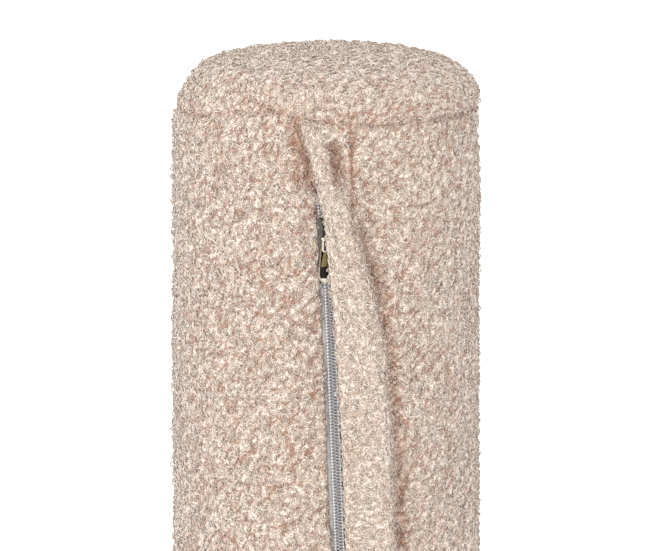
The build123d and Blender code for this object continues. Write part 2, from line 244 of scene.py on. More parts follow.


# Polyester tape in a fine twill, dyed light grey. Its slanting ribs get a little painted highlight, and it holds
# some dust. A real thread is half as thick, too fine to show.
tape, tree, shader, place = new_material("woven_polyester_zip_tape", Roughness=0.7, Sheen_Weight=0.2)
lean = add(tree, "Mapping", {"Rotation": (0.0, TWILL_LEAN, 0.0)}, Vector=place)
settings = {"Scale": BAND_SPAN / (TAPE_THREAD_MM * MM), "bands_direction": "Z"}
twill = add(tree, "TexWave", settings, Vector=lean.outputs["Vector"])
dust = add(tree, "TexNoise", {"Scale": 1 / (DUST_MM * MM), "Detail": 4.0}, Vector=place)
# A painted highlight along the twill's ribs, times real dust.
rib_highlight_and_dust = add(tree, "Math", {"operation": "MULTIPLY"}, _0=twill.outputs["Fac"], _1=dust.outputs["Fac"])
colour = add(tree, "ValToRGB", {"stops": ((0, "A7A3A2"), (1, "CBC7C6"))}, Fac=rib_highlight_and_dust.outputs["Value"])
tree.links.new(colour.outputs["Color"], shader.inputs["Base Color"])
ribs = add(tree, "Bump", {"Strength": 0.5, "Distance": 0.0001}, Height=twill.outputs["Fac"])
tree.links.new(ribs.outputs["Normal"], shader.inputs["Normal"])
dress(tape, "zip_tape_left", "zip_tape_right")

# Spun polyester cord, two plies twisted. The twist shows as slanting grey stripes between the coil's turns.
filler, tree, shader, place = new_material("twisted_polyester_filler_cord", Roughness=0.75)
turned = add(tree, "Mapping", {"Rotation": (0.0, CORD_LEAN, 0.0)}, Vector=place)
settings = {"Scale": BAND_SPAN / (CORD_TWIST_MM * MM), "bands_direction": "Z"}
twist = add(tree, "TexWave", settings, Vector=turned.outputs["Vector"])
colour = add(tree, "ValToRGB", {"stops": ((0, "8F8C89"), (1, "B9B6B2"))}, Fac=twist.outputs["Fac"])
tree.links.new(colour.outputs["Color"], shader.inputs["Base Color"])
dress(filler, "zip_cord_left", "zip_cord_right")

# Zip coils. Each is one nylon monofilament wound round its filler cord, so the turns of the two sides mesh.
# They are closed below the slider, and part above it as far as the slider's nose spreads them.
WIRE_MM = 0.56
COIL_PITCH_MM = 1.55
COIL_MIDDLE_MM = (1.02, 1.3)
COIL_HALF_MM = (1.49, 0.72)
POINTS_PER_TURN = 10
HAZE_MM = 10 / 9
coil_corners = [np.array(corner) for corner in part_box("zip_coil_left")]
coil_half = (coil_corners[1][2] - coil_corners[0][2]) / 2 / MM
slider_corners = [np.array(corner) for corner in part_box("slider_body")]
slider_place = float(to_zip((slider_corners[0] + slider_corners[1]) / 2)[2])
SLIDER_HALF_MM = 6.5
# Where the coils part, along the chain, and how far each then lies from its closed place.
PARTED = (
    (slider_place - 3.0, 0.0),
    (slider_place + 3.0, 1.45),
    (slider_place + SLIDER_HALF_MM, 1.45),
    (slider_place + 13.7, 1.9),
    (slider_place + 23.7, 0.9),
)


def parting(along):
    """How far each coil lies from its closed place, in millimetres."""
    return np.interp(along, [place for place, _ in PARTED], [gap for _, gap in PARTED])


def link(name, mesh, material, body, *nodes):
    """Puts a finished mesh into the scene as a piece on a body, if it has just one, standing for CAD nodes."""
    mesh.materials.append(material)
    made = bpy.data.objects.new(name, mesh)
    bpy.context.collection.objects.link(made)
    if body:
        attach(made, body)
    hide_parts(*nodes)
    return made


def shade_smooth(mesh):
    """Shades a mesh's faces as one smooth surface."""
    mesh.polygons.foreach_set("use_smooth", np.ones(len(mesh.polygons), bool))


def wind_coil(name, side, phase):
    """A helix with oblong turns, as a bevelled curve made a mesh."""
    turns = int(2 * coil_half / COIL_PITCH_MM) - 2
    angle = np.arange(turns * POINTS_PER_TURN) * 2 * math.pi / POINTS_PER_TURN
    along = -coil_half + COIL_PITCH_MM * (1 + phase + angle / (2 * math.pi))
    across = COIL_MIDDLE_MM[0] + COIL_HALF_MM[0] * np.cos(angle) + parting(along)
    out = COIL_MIDDLE_MM[1] + COIL_HALF_MM[1] * np.sin(angle)
    curve = bpy.data.curves.new(name, "CURVE")
    curve.dimensions = "3D"
    curve.bevel_depth = WIRE_MM * MM / 2
    curve.bevel_resolution = 1
    spline = curve.splines.new("POLY")
    spline.points.add(len(angle) - 1)
    points = from_zip(side * across, out, along)
    spline.points.foreach_set("co", np.c_[points, np.ones(len(points))].ravel())
    made = bpy.data.objects.new(name, curve)
    mesh = bpy.data.meshes.new_from_object(made)
    bpy.data.objects.remove(made)
    shade_smooth(mesh)
    return mesh


# Drawn nylon, dyed grey. It has a soft gloss that runs along each turn, with a little haze in it.
nylon, tree, shader, place = new_material("grey_nylon_monofilament", Roughness=0.38, IOR=1.53)
haze = add(tree, "TexNoise", {"Scale": 1 / (HAZE_MM * MM), "Detail": 2.0}, Vector=place)
colour = add(tree, "ValToRGB", {"stops": ((0, "A19DA0"), (1, "CDCACC"))}, Fac=haze.outputs["Fac"])
tree.links.new(colour.outputs["Color"], shader.inputs["Base Color"])
for side, name, phase in ((-1, "zip_coil_left", 0.5), (1, "zip_coil_right", 0.0)):
    made = link(name + "_wound", wind_coil(name, side, phase), nylon, "cover", name)

# Coil stitching. A row of white chain stitches holds each coil to its tape, one stitch to each turn, and a
# bar of the same spun polyester thread closes each end of the zip.
STITCH_MM = (0.62, 0.4, 1.15)
ROW_MM = 1.95
STITCH_OUT_MM = 2.28
FIRST_STITCH = 1.25
PLY_MM = 0.25
PLY_LEAN = math.radians(35)


def repeated(template, places, turns):
    """Copies of a small mesh, as one mesh: each copy turned by its matrix and moved to its place."""
    corners = np.array([vertex.co for vertex in template.verts])
    faces = np.array([[vertex.index for vertex in face.verts] for face in template.faces])
    points = np.einsum("nij,vj->nvi", turns, corners) + places[:, None, :]
    loops = faces[None] + np.arange(len(places))[:, None, None] * len(corners)
    mesh = bpy.data.meshes.new("repeated")
    mesh.vertices.add(points.shape[0] * points.shape[1])
    mesh.vertices.foreach_set("co", points.ravel())
    mesh.loops.add(loops.size)
    mesh.loops.foreach_set("vertex_index", loops.ravel())
    mesh.polygons.add(loops.shape[0] * loops.shape[1])
    mesh.polygons.foreach_set("loop_start", np.arange(0, loops.size, faces.shape[1]))
    mesh.update(calc_edges=True)
    shade_smooth(mesh)
    return mesh


# Spun polyester thread, bleached white. Its twisted plies give each stitch a fine slanting shade.
thread, tree, shader, place = new_material("white_spun_polyester_thread", Roughness=0.7)
turned = add(tree, "Mapping", {"Rotation": (0.0, PLY_LEAN, 0.0)}, Vector=place)
settings = {"Scale": BAND_SPAN / (PLY_MM * MM), "bands_direction": "Z"}
ply = add(tree, "TexWave", settings, Vector=turned.outputs["Vector"])
colour = add(tree, "ValToRGB", {"stops": ((0, "DCDCDC"), (1, "FFFFFF"))}, Fac=ply.outputs["Fac"])
tree.links.new(colour.outputs["Color"], shader.inputs["Base Color"])
dress(thread, "zip_tack_top", "zip_tack_bottom")

bead = bmesh.new()
bmesh.ops.create_icosphere(bead, subdivisions=1, radius=0.5)
bead.verts.index_update()
stitch_axes = np.stack([ACROSS * STITCH_MM[0], OUT * STITCH_MM[1], ALONG * STITCH_MM[2]], axis=1) * MM
for side, name, phase in ((-1, "zip_stitching_left", 0.5), (1, "zip_stitching_right", 0.0)):
    first = -coil_half + COIL_PITCH_MM * (FIRST_STITCH + phase)
    rows = np.arange(first, coil_half - COIL_PITCH_MM, COIL_PITCH_MM)
    places = from_zip(side * (ROW_MM + parting(rows)), np.full(len(rows), STITCH_OUT_MM), rows)
    mesh = repeated(bead, places, np.repeat(stitch_axes[None], len(rows), axis=0))
    made = link(name + "_stitches", mesh, thread, "cover", name)
bead.free()

# Slider. The body and its cap are die-cast zinc in the same nickel plate as the puller, darkened here with painted
# shade. A spring-steel lock pawl sits between them, and the teardrop puller, plated bright, hangs from the bar that
# the cap closes over.
CAST_EDGE_MM = 0.25
PRESSED_EDGE_MM = 0.08
SAME_POINT_MM = 0.005
FLAT_WITHIN = math.radians(1.5)
SHARP_OVER = math.radians(40)
POLISH_LINE_MM = 0.35
RIM_MM = 0.75
SUNK_MM = 0.2
FIELD_AREA_MM2 = 3
FIELD_LONG_MM = 10


def soften(name, body, material, edge):
    """A closed copy of a CAD node with its sharp edges rounded, put in the node's place."""
    bm = bmesh.new()
    bm.from_mesh(frame["nodes"][name].data)
    bmesh.ops.remove_doubles(bm, verts=bm.verts, dist=SAME_POINT_MM * MM)
    bmesh.ops.dissolve_limit(bm, angle_limit=FLAT_WITHIN, verts=bm.verts, edges=bm.edges)
    sharp = [line for line in bm.edges if line.is_manifold and line.calc_face_angle() > SHARP_OVER]
    bmesh.ops.bevel(
        bm, geom=sharp, offset=edge * MM, offset_type="OFFSET", affect="EDGES", segments=2,
        profile=0.5, material=-1, clamp_overlap=True,
    )
    bmesh.ops.recalc_face_normals(bm, faces=bm.faces)
    mesh = bpy.data.meshes.new(name + "_cast")
    bm.to_mesh(mesh)
    bm.free()
    made = link(name + "_finished", mesh, material, body, name)
    return made


# Nickel plate over barrel-polished castings, as two copies that mirror the room, a little softer in the polishing
# lines: the slider's copy darkened with painted shade to a smoky grey, and the bright one on the puller as a warm
# white.
plates = []
for finish, dull, bright in (
    # This copy's colours are darkened as painted shade.
    ("nickel_plated_zinc_in_painted_shade", "45423C", "6C685F"),
    ("bright_nickel_plated_zinc", "A39C86", "CFC9BB"),
):
    plate, tree, shader, place = new_material(finish, Metallic=1.0)
    streaks = add(tree, "TexNoise", {"Scale": 1 / (POLISH_LINE_MM * MM), "Detail": 3.0}, Vector=place)
    tint = add(tree, "ValToRGB", {"stops": ((0, dull), (1, bright))}, Fac=streaks.outputs["Fac"])
    tree.links.new(tint.outputs["Color"], shader.inputs["Base Color"])
    shine = add(tree, "MapRange", {"To Min": 0.14, "To Max": 0.28}, Value=streaks.outputs["Fac"])
    tree.links.new(shine.outputs["Result"], shader.inputs["Roughness"])
    plates.append(plate)
# The slider's body and cap take the copy darkened with painted shade.
soften("slider_body", "slider", plates[0], CAST_EDGE_MM)
soften("slider_cap", "slider", plates[0], CAST_EDGE_MM)
puller = soften("puller", "puller", plates[1], CAST_EDGE_MM)

# The puller's sunk field. It is bare plate at its foot, then black as a painted dark reflection, then
# brass-coloured above.
sunk, tree, shader, place = new_material("sunk_field_painted_reflection", Metallic=1.0, Roughness=0.3)
split = add(tree, "SeparateXYZ", Vector=place)
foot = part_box("puller")[0][2]
field_height = add(tree, "MapRange", {"From Min": foot, "From Max": foot + FIELD_LONG_MM * MM}, Value=split.outputs["Z"])
# Upwards from the foot: bare plate, a painted dark reflection, then a brass colour.
stops = ((0, "CFC9BB"), (0.24, "26241F"), (0.8, "776C4C"))
tint = add(tree, "ValToRGB", {"stops": stops}, Fac=field_height.outputs["Result"])
tint.color_ramp.interpolation = "CONSTANT"
tree.links.new(tint.outputs["Color"], shader.inputs["Base Color"])
puller.data.materials.append(sunk)
bm = bmesh.new()
bm.from_mesh(puller.data)
for side in (-1, 1):
    broad = [face for face in bm.faces if face.calc_area() > FIELD_AREA_MM2 * MM * MM]
    fields = [face for face in broad if face.normal.y * side > 0.99]
    bmesh.ops.inset_region(bm, faces=fields, thickness=RIM_MM * MM, depth=-SUNK_MM * MM, use_even_offset=True)
    for face in fields:
        face.material_index = 1
bm.to_mesh(puller.data)
bm.free()

# Cold-rolled spring steel, stamped and left bare. It is a plain mid grey with a satin shine.
spring, tree, shader, place = new_material("cold_rolled_spring_steel", Metallic=1.0, Roughness=0.3)
rolled = add(tree, "TexNoise", {"Scale": 1 / (POLISH_LINE_MM * MM), "Detail": 2.0}, Vector=place)
tint = add(tree, "ValToRGB", {"stops": ((0, "77787A"), (1, "9A9B9C"))}, Fac=rolled.outputs["Fac"])
tree.links.new(tint.outputs["Color"], shader.inputs["Base Color"])
soften("lock_pawl", "lock_pawl", spring, PRESSED_EDGE_MM)

# Cover tube panel. One panel of boucle cloth, closed by a seam down the back and slit down the front for the zip,
# with the slit's edges turned in. The cloth is a woven ground under small curled loops of a two-tone spun yarn.
HEIGHT_MM = 500.0
TUBE_MM = 75.0
SHOULDER_MM = 22.6
CROWN_MM = 285.6
FOOT_MM = 18.0
SHOULDER_START_MM = 476.0
TOP_SEAM_MM = 475.3
BOTTOM_SEAM_MM = 12.0
GROUND_INSET_MM = 0.6
SLANT = -ALONG[0] / ALONG[2]
MIDDLE_MM = ZIP_ORIGIN[2] / MM
CROWN_LIMIT = math.acos((TUBE_MM - SHOULDER_MM) / (CROWN_MM - SHOULDER_MM))
CROWN_MIDDLE_MM = SHOULDER_START_MM - (CROWN_MM - SHOULDER_MM) * math.sin(CROWN_LIMIT)
tube_ground = TUBE_MM - GROUND_INSET_MM
shoulder_ground = SHOULDER_MM - GROUND_INSET_MM
crown_ground = CROWN_MM - GROUND_INSET_MM
foot_ground = FOOT_MM - GROUND_INSET_MM
shoulder_at = SHOULDER_START_MM - FOOT_MM
crown_at = shoulder_at + shoulder_ground * CROWN_LIMIT
apex_at = crown_at + crown_ground * (math.pi / 2 - CROWN_LIMIT)
rest_at = -foot_ground * math.pi / 2
centre_at = rest_at - (TUBE_MM - FOOT_MM)
top_seam_at = TOP_SEAM_MM - FOOT_MM
bottom_seam_at = -foot_ground * math.asin((FOOT_MM - BOTTOM_SEAM_MM) / FOOT_MM)


def ease(value):
    """A smooth step from 0 to 1."""
    value = np.clip(value, 0, 1)
    return value * value * (3 - 2 * value)


def outline(way):
    """The pillow's side view: the radius and height at a distance along it, upwards from the top of its foot."""
    foot = np.clip(way, rest_at, 0) / foot_ground
    shoulder = np.clip((way - shoulder_at) / shoulder_ground, 0, CROWN_LIMIT)
    crown = CROWN_LIMIT + np.clip(way - crown_at, 0, None) / crown_ground
    foot_radius = TUBE_MM - FOOT_MM + foot_ground * np.cos(foot) - np.clip(rest_at - way, 0, None)
    radius = np.where(way < 0, foot_radius, tube_ground)
    height = np.where(way < 0, FOOT_MM + foot_ground * np.sin(foot), FOOT_MM + np.clip(way, 0, shoulder_at))
    radius = np.where(way > shoulder_at, TUBE_MM - SHOULDER_MM + shoulder_ground * np.cos(shoulder), radius)
    height = np.where(way > shoulder_at, SHOULDER_START_MM + shoulder_ground * np.sin(shoulder), height)
    radius = np.where(way > crown_at, crown_ground * np.cos(crown), radius)
    height = np.where(way > crown_at, CROWN_MIDDLE_MM + crown_ground * np.sin(crown), height)
    return radius, height


SEAM_UP_MM = 6.6
SEAM_UP_LEFT_MM = 40
SEAM_UP_HALF_MM = 29


def seam_lift(angle):
    """The top seam rides up a little to the left of the zip, where the cover is twisted on its pad."""
    return SEAM_UP_MM * np.exp(-(((angle * tube_ground + SEAM_UP_LEFT_MM) / SEAM_UP_HALF_MM) ** 2))


FLAT_MM = 70.9
FLAT_BLEND_MM = 0.6
SEWN_FROM_MM = 10
SEWN_FROM_EASE_MM = 22
SEWN_TO_MM = 478
SEWN_TO_EASE_MM = 16
# The pad fills the shoulder unevenly. Each dent has its side, depth, height and half width.
SHOULDER_DENTS = ((-1, 4.4, 487, 10.5), (1, 1.4, 464, 10))


def flattened(depth, height):
    """How far the front lies back from its round, where the zip is sewn in."""
    over = np.logaddexp(0, (depth - FLAT_MM) / FLAT_BLEND_MM) * FLAT_BLEND_MM
    sewn = ease((height - SEWN_FROM_MM) / SEWN_FROM_EASE_MM) * ease((SEWN_TO_MM - height) / SEWN_TO_EASE_MM)
    return over * sewn


def place_on_cover(angle, way):
    """Millimetre points of the cover's ground."""
    radius, height = outline(way)
    for side, deep, middle, half in SHOULDER_DENTS:
        sideways = ease(side * np.sin(angle) * 1.2 - 0.1)
        radius = radius - deep * np.exp(-(((height - middle) / half) ** 2)) * sideways
    sideways, depth = radius * np.sin(angle), radius * np.cos(angle)
    return np.stack((sideways, flattened(depth, height) - depth, height), axis=-1)


def distance_to_line(points, line):
    """How far each (sideways, height) point is from a chain of straight runs."""
    nearest = np.full(len(points), 1e9)
    for start, end in zip(np.array(line[:-1], float), np.array(line[1:], float)):
        run = end - start
        share = np.clip((points - start) @ run / (run @ run), 0, 1)
        nearest = np.minimum(nearest, np.linalg.norm(points - start - share[:, None] * run, axis=1))
    return nearest


# Folds and sewn lines of the front, each as a line of (sideways, height), its half width and its depth.
FOLDS = (
    (((4.6, 480), (4.4, 462), (4.8, 440), (5.4, 424)), 1.0, 1.8),
    (((-23.0, 478), (-20.5, 468), (-17.0, 456), (-15.0, 447)), 2.6, 2.2),
    (((-23.5, 470), (-22.5, 460), (-21.0, 447)), 1.6, 1.4),
    (((-3.5, 465), (-2.0, 449)), 2.8, 2.4),
    (((9.0, 424), (17.5, 398), (24.0, 368), (26.5, 335), (29.0, 300), (29.5, 250)), 3.2, 1.0),
    (((29.5, 250), (30.0, 190), (28.0, 130), (22.0, 95), (16.0, 70)), 3.2, 1.0),
)
# A fold this deep gets the full painted shade.
FULL_FOLD_MM = 1.8
CLUMP_MM = 4.6
CLUMP_EDGE = 0.32
CLUMP_RISE_MM = 1.0
WAVE_MM = 34
WAVE_RISE_MM = 0.7
RIPPLE_MM = 11
RIPPLE_SHARE = 0.4
PATTERN_STEPS = (17.3, 5.1, 9.7)
SEAM_DEPTH_MM = 1.7
SEAM_HALF_MM = 1.8
# A seam's groove gets this much painted shade.
SEAM_SHADE = 0.45
DEEPEST_MM = 1.55


def crumple(bm, seed, stretch=0.0):
    """Pushes a smooth ground along its normals into clumps, soft waves, folds and seam grooves. It keeps, for
    each vertex, how far it stands up in its clump, from 0 in a crease to 1 on top, and how much painted shade it
    gets in folds and seam grooves.
    Stretched cloth is clumped less."""
    bm.normal_update()
    edge = bm.verts.layers.float["edge"]
    stand = bm.verts.layers.float.new("stand")
    fold_shade = bm.verts.layers.float.new("fold_shade")
    points = np.array([vertex.co for vertex in bm.verts]) / MM
    normals = np.array([vertex.normal for vertex in bm.verts])
    shift = Vector([seed * step for step in PATTERN_STEPS])
    near = np.array([noise.voronoi(Vector(point) / CLUMP_MM + shift)[0][:2] for point in points])
    clump = stretch + (1 - stretch) * ease((near[:, 1] - near[:, 0]) / CLUMP_EDGE)
    wave = np.array([noise.noise(Vector(point) / WAVE_MM + shift) for point in points])
    wave += RIPPLE_SHARE * np.array([noise.noise(Vector(point) / RIPPLE_MM + shift) for point in points])
    rise = CLUMP_RISE_MM * (clump - 0.5) + WAVE_RISE_MM * wave
    front = points[:, 1] < 0
    # Each fold and seam groove also gets painted shade, kept with each vertex.
    fold_shading = np.zeros(len(points))
    for line, width, depth in FOLDS:
        near = front * np.exp(-((distance_to_line(points[:, (0, 2)], line) / width) ** 2))
        rise -= depth * near
        fold_shading = np.maximum(fold_shading, near * min(depth / FULL_FOLD_MM, 1))
    seam = np.exp(-((np.array([vertex[edge] for vertex in bm.verts]) / SEAM_HALF_MM) ** 2))
    rise -= SEAM_DEPTH_MM * seam
    fold_shading = np.maximum(fold_shading, SEAM_SHADE * seam)
    rise = np.maximum(rise, -DEEPEST_MM)
    for vertex, point, normal, amount, high, deep in zip(bm.verts, points, normals, rise, clump, fold_shading):
        vertex.co = Vector(point + normal * amount) * MM
        vertex[stand] = high
        vertex[fold_shade] = deep


GROUND_SHEET_MIDDLE = (0.245, 0.5)
GROUND_SHEET_HALF = (0.235, 0.49)
JOIN_MM = 0.01


def grid(columns, rows):
    """A flat grid from -1 to 1 each way, with its map for baking in the left half of the sheet."""
    bm = bmesh.new()
    bmesh.ops.create_grid(bm, x_segments=columns, y_segments=rows, size=1)
    sheet = bm.loops.layers.uv.new("OFBake")
    (middle_u, middle_v), (half_u, half_v) = GROUND_SHEET_MIDDLE, GROUND_SHEET_HALF
    for face in bm.faces:
        for corner in face.loops:
            corner[sheet].uv = (middle_u + half_u * corner.vert.co.x, middle_v + half_v * corner.vert.co.y)
    bm.verts.index_update()
    return bm, np.array([vertex.co[:2] for vertex in bm.verts])


def settle(bm, points, edges):
    """Moves a grid's vertices to millimetre points, joins its meeting edges and turns its faces outwards. How
    far each vertex is from a sewn edge is kept with it."""
    edge = bm.verts.layers.float.new("edge")
    for vertex, point, distance in zip(bm.verts, points, edges):
        vertex.co = Vector(point) * MM
        vertex[edge] = distance
    bmesh.ops.remove_doubles(bm, verts=bm.verts, dist=JOIN_MM * MM)
    bm.normal_update()
    middle = sum((vertex.co for vertex in bm.verts), Vector()) / len(bm.verts)
    if sum(face.normal.dot(face.calc_center_median() - middle) for face in bm.faces) < 0:
        bmesh.ops.reverse_faces(bm, faces=bm.faces)
    bm.verts.index_update()


# A loop's yarn, how far it wavers from a flat circle, and how far above its foot its middle is, by its radius.
YARN_MM = 0.33
LOOP_STEPS = 5
LOOP_WAVER_MM = 0.18
LOOP_RISE = 0.55
# Where a loop's wall and its two end caps lie in its cell of the bake sheet.
WALL_CORNER = (0.02, 0.04)
WALL_SIZE = (0.86, 0.92)
CAP_LEFT = 0.92
CAP_LOW = (0.05, 0.55)
CAP_SIZE = (0.07, 0.4)


def yarn_loop(radius, sweep, lean):
    """One open loop of yarn, in millimetres: a three-sided tube round most of a circle, closed at both ends,
    that stands over the origin. With it comes its place on the bake sheet, corner by corner."""
    bm = bmesh.new()
    start = math.radians(90 - sweep / 2)
    step = math.radians(sweep) / LOOP_STEPS
    bmesh.ops.create_circle(bm, segments=3, radius=YARN_MM)
    bmesh.ops.rotate(bm, verts=bm.verts, matrix=Matrix.Rotation(math.pi / 2, 3, "X"))
    bmesh.ops.translate(bm, verts=bm.verts, vec=(radius, 0, -lean / 2))
    bmesh.ops.rotate(bm, verts=bm.verts, matrix=Matrix.Rotation(start, 3, "Z"))
    bmesh.ops.spin(
        bm, geom=bm.verts[:] + bm.edges[:], axis=(0, 0, 1), dvec=(0, 0, lean / LOOP_STEPS),
        angle=step * LOOP_STEPS, steps=LOOP_STEPS,
    )
    bmesh.ops.holes_fill(bm, edges=[line for line in bm.edges if line.is_boundary], sides=3)
    bmesh.ops.triangulate(bm, faces=bm.faces)
    bmesh.ops.recalc_face_normals(bm, faces=bm.faces)
    bm.verts.index_update()
    rings, sides = [], []
    for vertex in bm.verts:
        turn = (math.atan2(vertex.co.y, vertex.co.x) - start) % (2 * math.pi)
        ring = round(turn / step) % round(2 * math.pi / step)
        out = math.hypot(vertex.co.x, vertex.co.y) - radius
        up = vertex.co.z - lean * (ring / LOOP_STEPS - 0.5)
        rings.append(ring)
        sides.append(round(math.atan2(up, out) / (2 * math.pi / 3)) % 3)
    corners = []
    for face in bm.faces:
        ring = [rings[vertex.index] for vertex in face.verts]
        side = [sides[vertex.index] for vertex in face.verts]
        if len(set(ring)) == 1:
            low = CAP_LOW[0] if ring[0] == 0 else CAP_LOW[1]
            corners += [(CAP_LEFT + CAP_SIZE[0] * (s == 1), low + CAP_SIZE[1] * (s == 2)) for s in side]
            continue
        for r, s in zip(ring, side):
            s = 3 if s == 0 and 2 in side else s
            u = WALL_CORNER[0] + WALL_SIZE[0] * r / LOOP_STEPS
            corners.append((u, WALL_CORNER[1] + WALL_SIZE[1] * s / 3))
    for vertex in bm.verts:
        turn = math.atan2(vertex.co.y, vertex.co.x)
        vertex.co.z += LOOP_WAVER_MM * math.sin(2 * turn + lean)
        vertex.co.y += LOOP_RISE * radius
    return bm, np.array(corners)


LOOP_SHAPES = (
    yarn_loop(0.85, 300, 0.6),
    yarn_loop(1.05, 300, -0.7),
    yarn_loop(0.7, 300, 0.5),
    yarn_loop(1.2, 240, 0.9),
)
LOOP_AREA_MM2 = 5.4
LOOP_TILT = (8, 66)
LOOP_SIZE = (0.82, 1.2)
LOOP_SLIP_MM = 0.9
# How high a loop's foot is: in a crease, how much higher on top of a clump, and by chance.
LOOP_FOOT_MM = -0.45
LOOP_ON_CLUMP_MM = 0.35
LOOP_FOOT_CHANCE_MM = 0.15
# The corner and the size of the loops' part of the bake sheet.
LOOP_SHEET_CORNER = (0.505, 0.01)
LOOP_SHEET = (0.49, 0.98)
# How bright the yarn is painted: darker at a loop's foot, partly its own darker root and partly painted shade, more
# with each millimetre up, and then by its place in its clump, with painted shade in the clump's creases.
TIP_AT_FOOT = 0.2
TIP_PER_MM = 0.5
TIP_IN_CREASE = 0.72
TIP_ON_CLUMP = 0.28
# The ground between the loops gets painted shade in its clumps' creases, and a middle yarn tone.
GROUND_TIP = 0.4
GROUND_TONE = 0.4


def write(mesh, name, values):
    """Writes a number for each vertex as an attribute."""
    mesh.attributes.new(name, "FLOAT", "POINT").data.foreach_set("value", np.asarray(values, np.float32))


def read(owner, key, values):
    """Fills an array from each item of a mesh's collection."""
    owner.foreach_get(key, values)
    return values


def cover_with_loops(bm, seed, wanted=None, bend=None):
    """Makes a ground a mesh, grows loops of yarn all over it, and joins them to it. wanted gives where they grow,
    and bend how far each vertex follows the second of the piece's two bodies."""
    rng = np.random.default_rng(seed)
    bm.verts.index_update()
    ground = bpy.data.meshes.new("ground")
    bm.to_mesh(ground)
    bm.free()
    shade_smooth(ground)
    corners, faces = len(ground.vertices), len(ground.polygons)
    stand = read(ground.attributes["stand"].data, "value", np.empty(corners, np.float32))
    fold_shade = read(ground.attributes["fold_shade"].data, "value", np.empty(corners, np.float32))
    points = read(ground.vertices, "co", np.empty(corners * 3, np.float32)).reshape(-1, 3)
    bend = bend(points) if bend else np.zeros(corners)
    centres = read(ground.polygons, "center", np.empty(faces * 3)).reshape(-1, 3)
    normals = read(ground.polygons, "normal", np.empty(faces * 3)).reshape(-1, 3)
    areas = read(ground.polygons, "area", np.empty(faces))
    first = np.array([polygon.vertices[0] for polygon in ground.polygons])
    if wanted is not None:
        areas = areas * wanted(centres / MM)
    total = np.cumsum(areas)
    loops = int(total[-1] / (LOOP_AREA_MM2 * MM * MM))
    chosen = np.searchsorted(total, (np.arange(loops) + rng.random(loops)) * total[-1] / loops)
    chosen = np.minimum(chosen, faces - 1)
    normal, high = normals[chosen], stand[first[chosen]]
    random_way = rng.normal(size=(loops, 3))
    along = np.cross(normal, random_way)
    along /= np.linalg.norm(along, axis=1)[:, None]
    beside = np.cross(normal, along)
    tilt = np.radians(rng.uniform(*LOOP_TILT, loops))[:, None]
    up = np.cos(tilt) * beside + np.sin(tilt) * normal
    size = rng.uniform(*LOOP_SIZE, (loops, 3))
    turns = (along * size[:, :1], up * size[:, 1:2], np.cross(along, up) * size[:, 2:])
    turns = np.stack(turns, axis=2) * MM
    slip = rng.uniform(-LOOP_SLIP_MM, LOOP_SLIP_MM, (loops, 2)) * MM
    chance = rng.uniform(-LOOP_FOOT_CHANCE_MM, LOOP_FOOT_CHANCE_MM, loops)
    lift = (LOOP_FOOT_MM + LOOP_ON_CLUMP_MM * high + chance)[:, None] * MM
    places = centres[chosen] + along * slip[:, :1] + beside * slip[:, 1:] + normal * lift
    shape_of = rng.integers(len(LOOP_SHAPES), size=loops)
    tone = rng.uniform(0, 1, loops)
    cell = math.sqrt(LOOP_SHEET[0] * LOOP_SHEET[1] / loops)
    across = int(LOOP_SHEET[0] / cell)
    cell = min(cell, LOOP_SHEET[1] / math.ceil(loops / across))
    # The ground is painted darker in its clumps' creases, as painted shade.
    write(ground, "tip", GROUND_TIP * stand)
    write(ground, "tone", np.full(corners, GROUND_TONE))
    write(ground, "bend", bend)
    pieces = [bpy.data.objects.new("ground", ground)]
    for number, (shape, sheet) in enumerate(LOOP_SHAPES):
        mine = np.flatnonzero(shape_of == number)
        mesh = repeated(shape, places[mine], turns[mine])
        each = len(shape.verts)
        points = read(mesh.vertices, "co", np.empty(len(mesh.vertices) * 3, np.float32))
        offset = points.reshape(len(mine), each, 3) - places[mine][:, None]
        rise = np.einsum("nvi,ni->nv", offset, normal[mine]) / MM + lift[mine] / MM
        # Each loop is painted darker towards its foot and in a clump's crease, partly its own root and partly
        # painted shade.
        tip = (TIP_AT_FOOT + TIP_PER_MM * rise) * (TIP_IN_CREASE + TIP_ON_CLUMP * high[mine][:, None])
        write(mesh, "tip", np.clip(tip, 0, 1).ravel())
        write(mesh, "tone", np.repeat(tone[mine], each))
        write(mesh, "fold_shade", np.repeat(fold_shade[first[chosen[mine]]], each))
        write(mesh, "bend", np.repeat(bend[first[chosen[mine]]], each))
        left, low = LOOP_SHEET_CORNER
        corner = np.stack((left + cell * (mine % across), low + cell * (mine // across)), axis=1)
        sheet_places = corner[:, None] + sheet[None] * cell
        mesh.uv_layers.new(name="OFBake").uv.foreach_set("vector", sheet_places.astype(np.float32).ravel())
        pieces.append(bpy.data.objects.new("loops", mesh))
    for piece in pieces:
        bpy.context.collection.objects.link(piece)
    with bpy.context.temp_override(
        active_object=pieces[0], object=pieces[0], selected_editable_objects=pieces
    ):
        bpy.ops.object.join()
    joined = pieces[0].data
    bpy.data.objects.remove(pieces[0])
    return joined


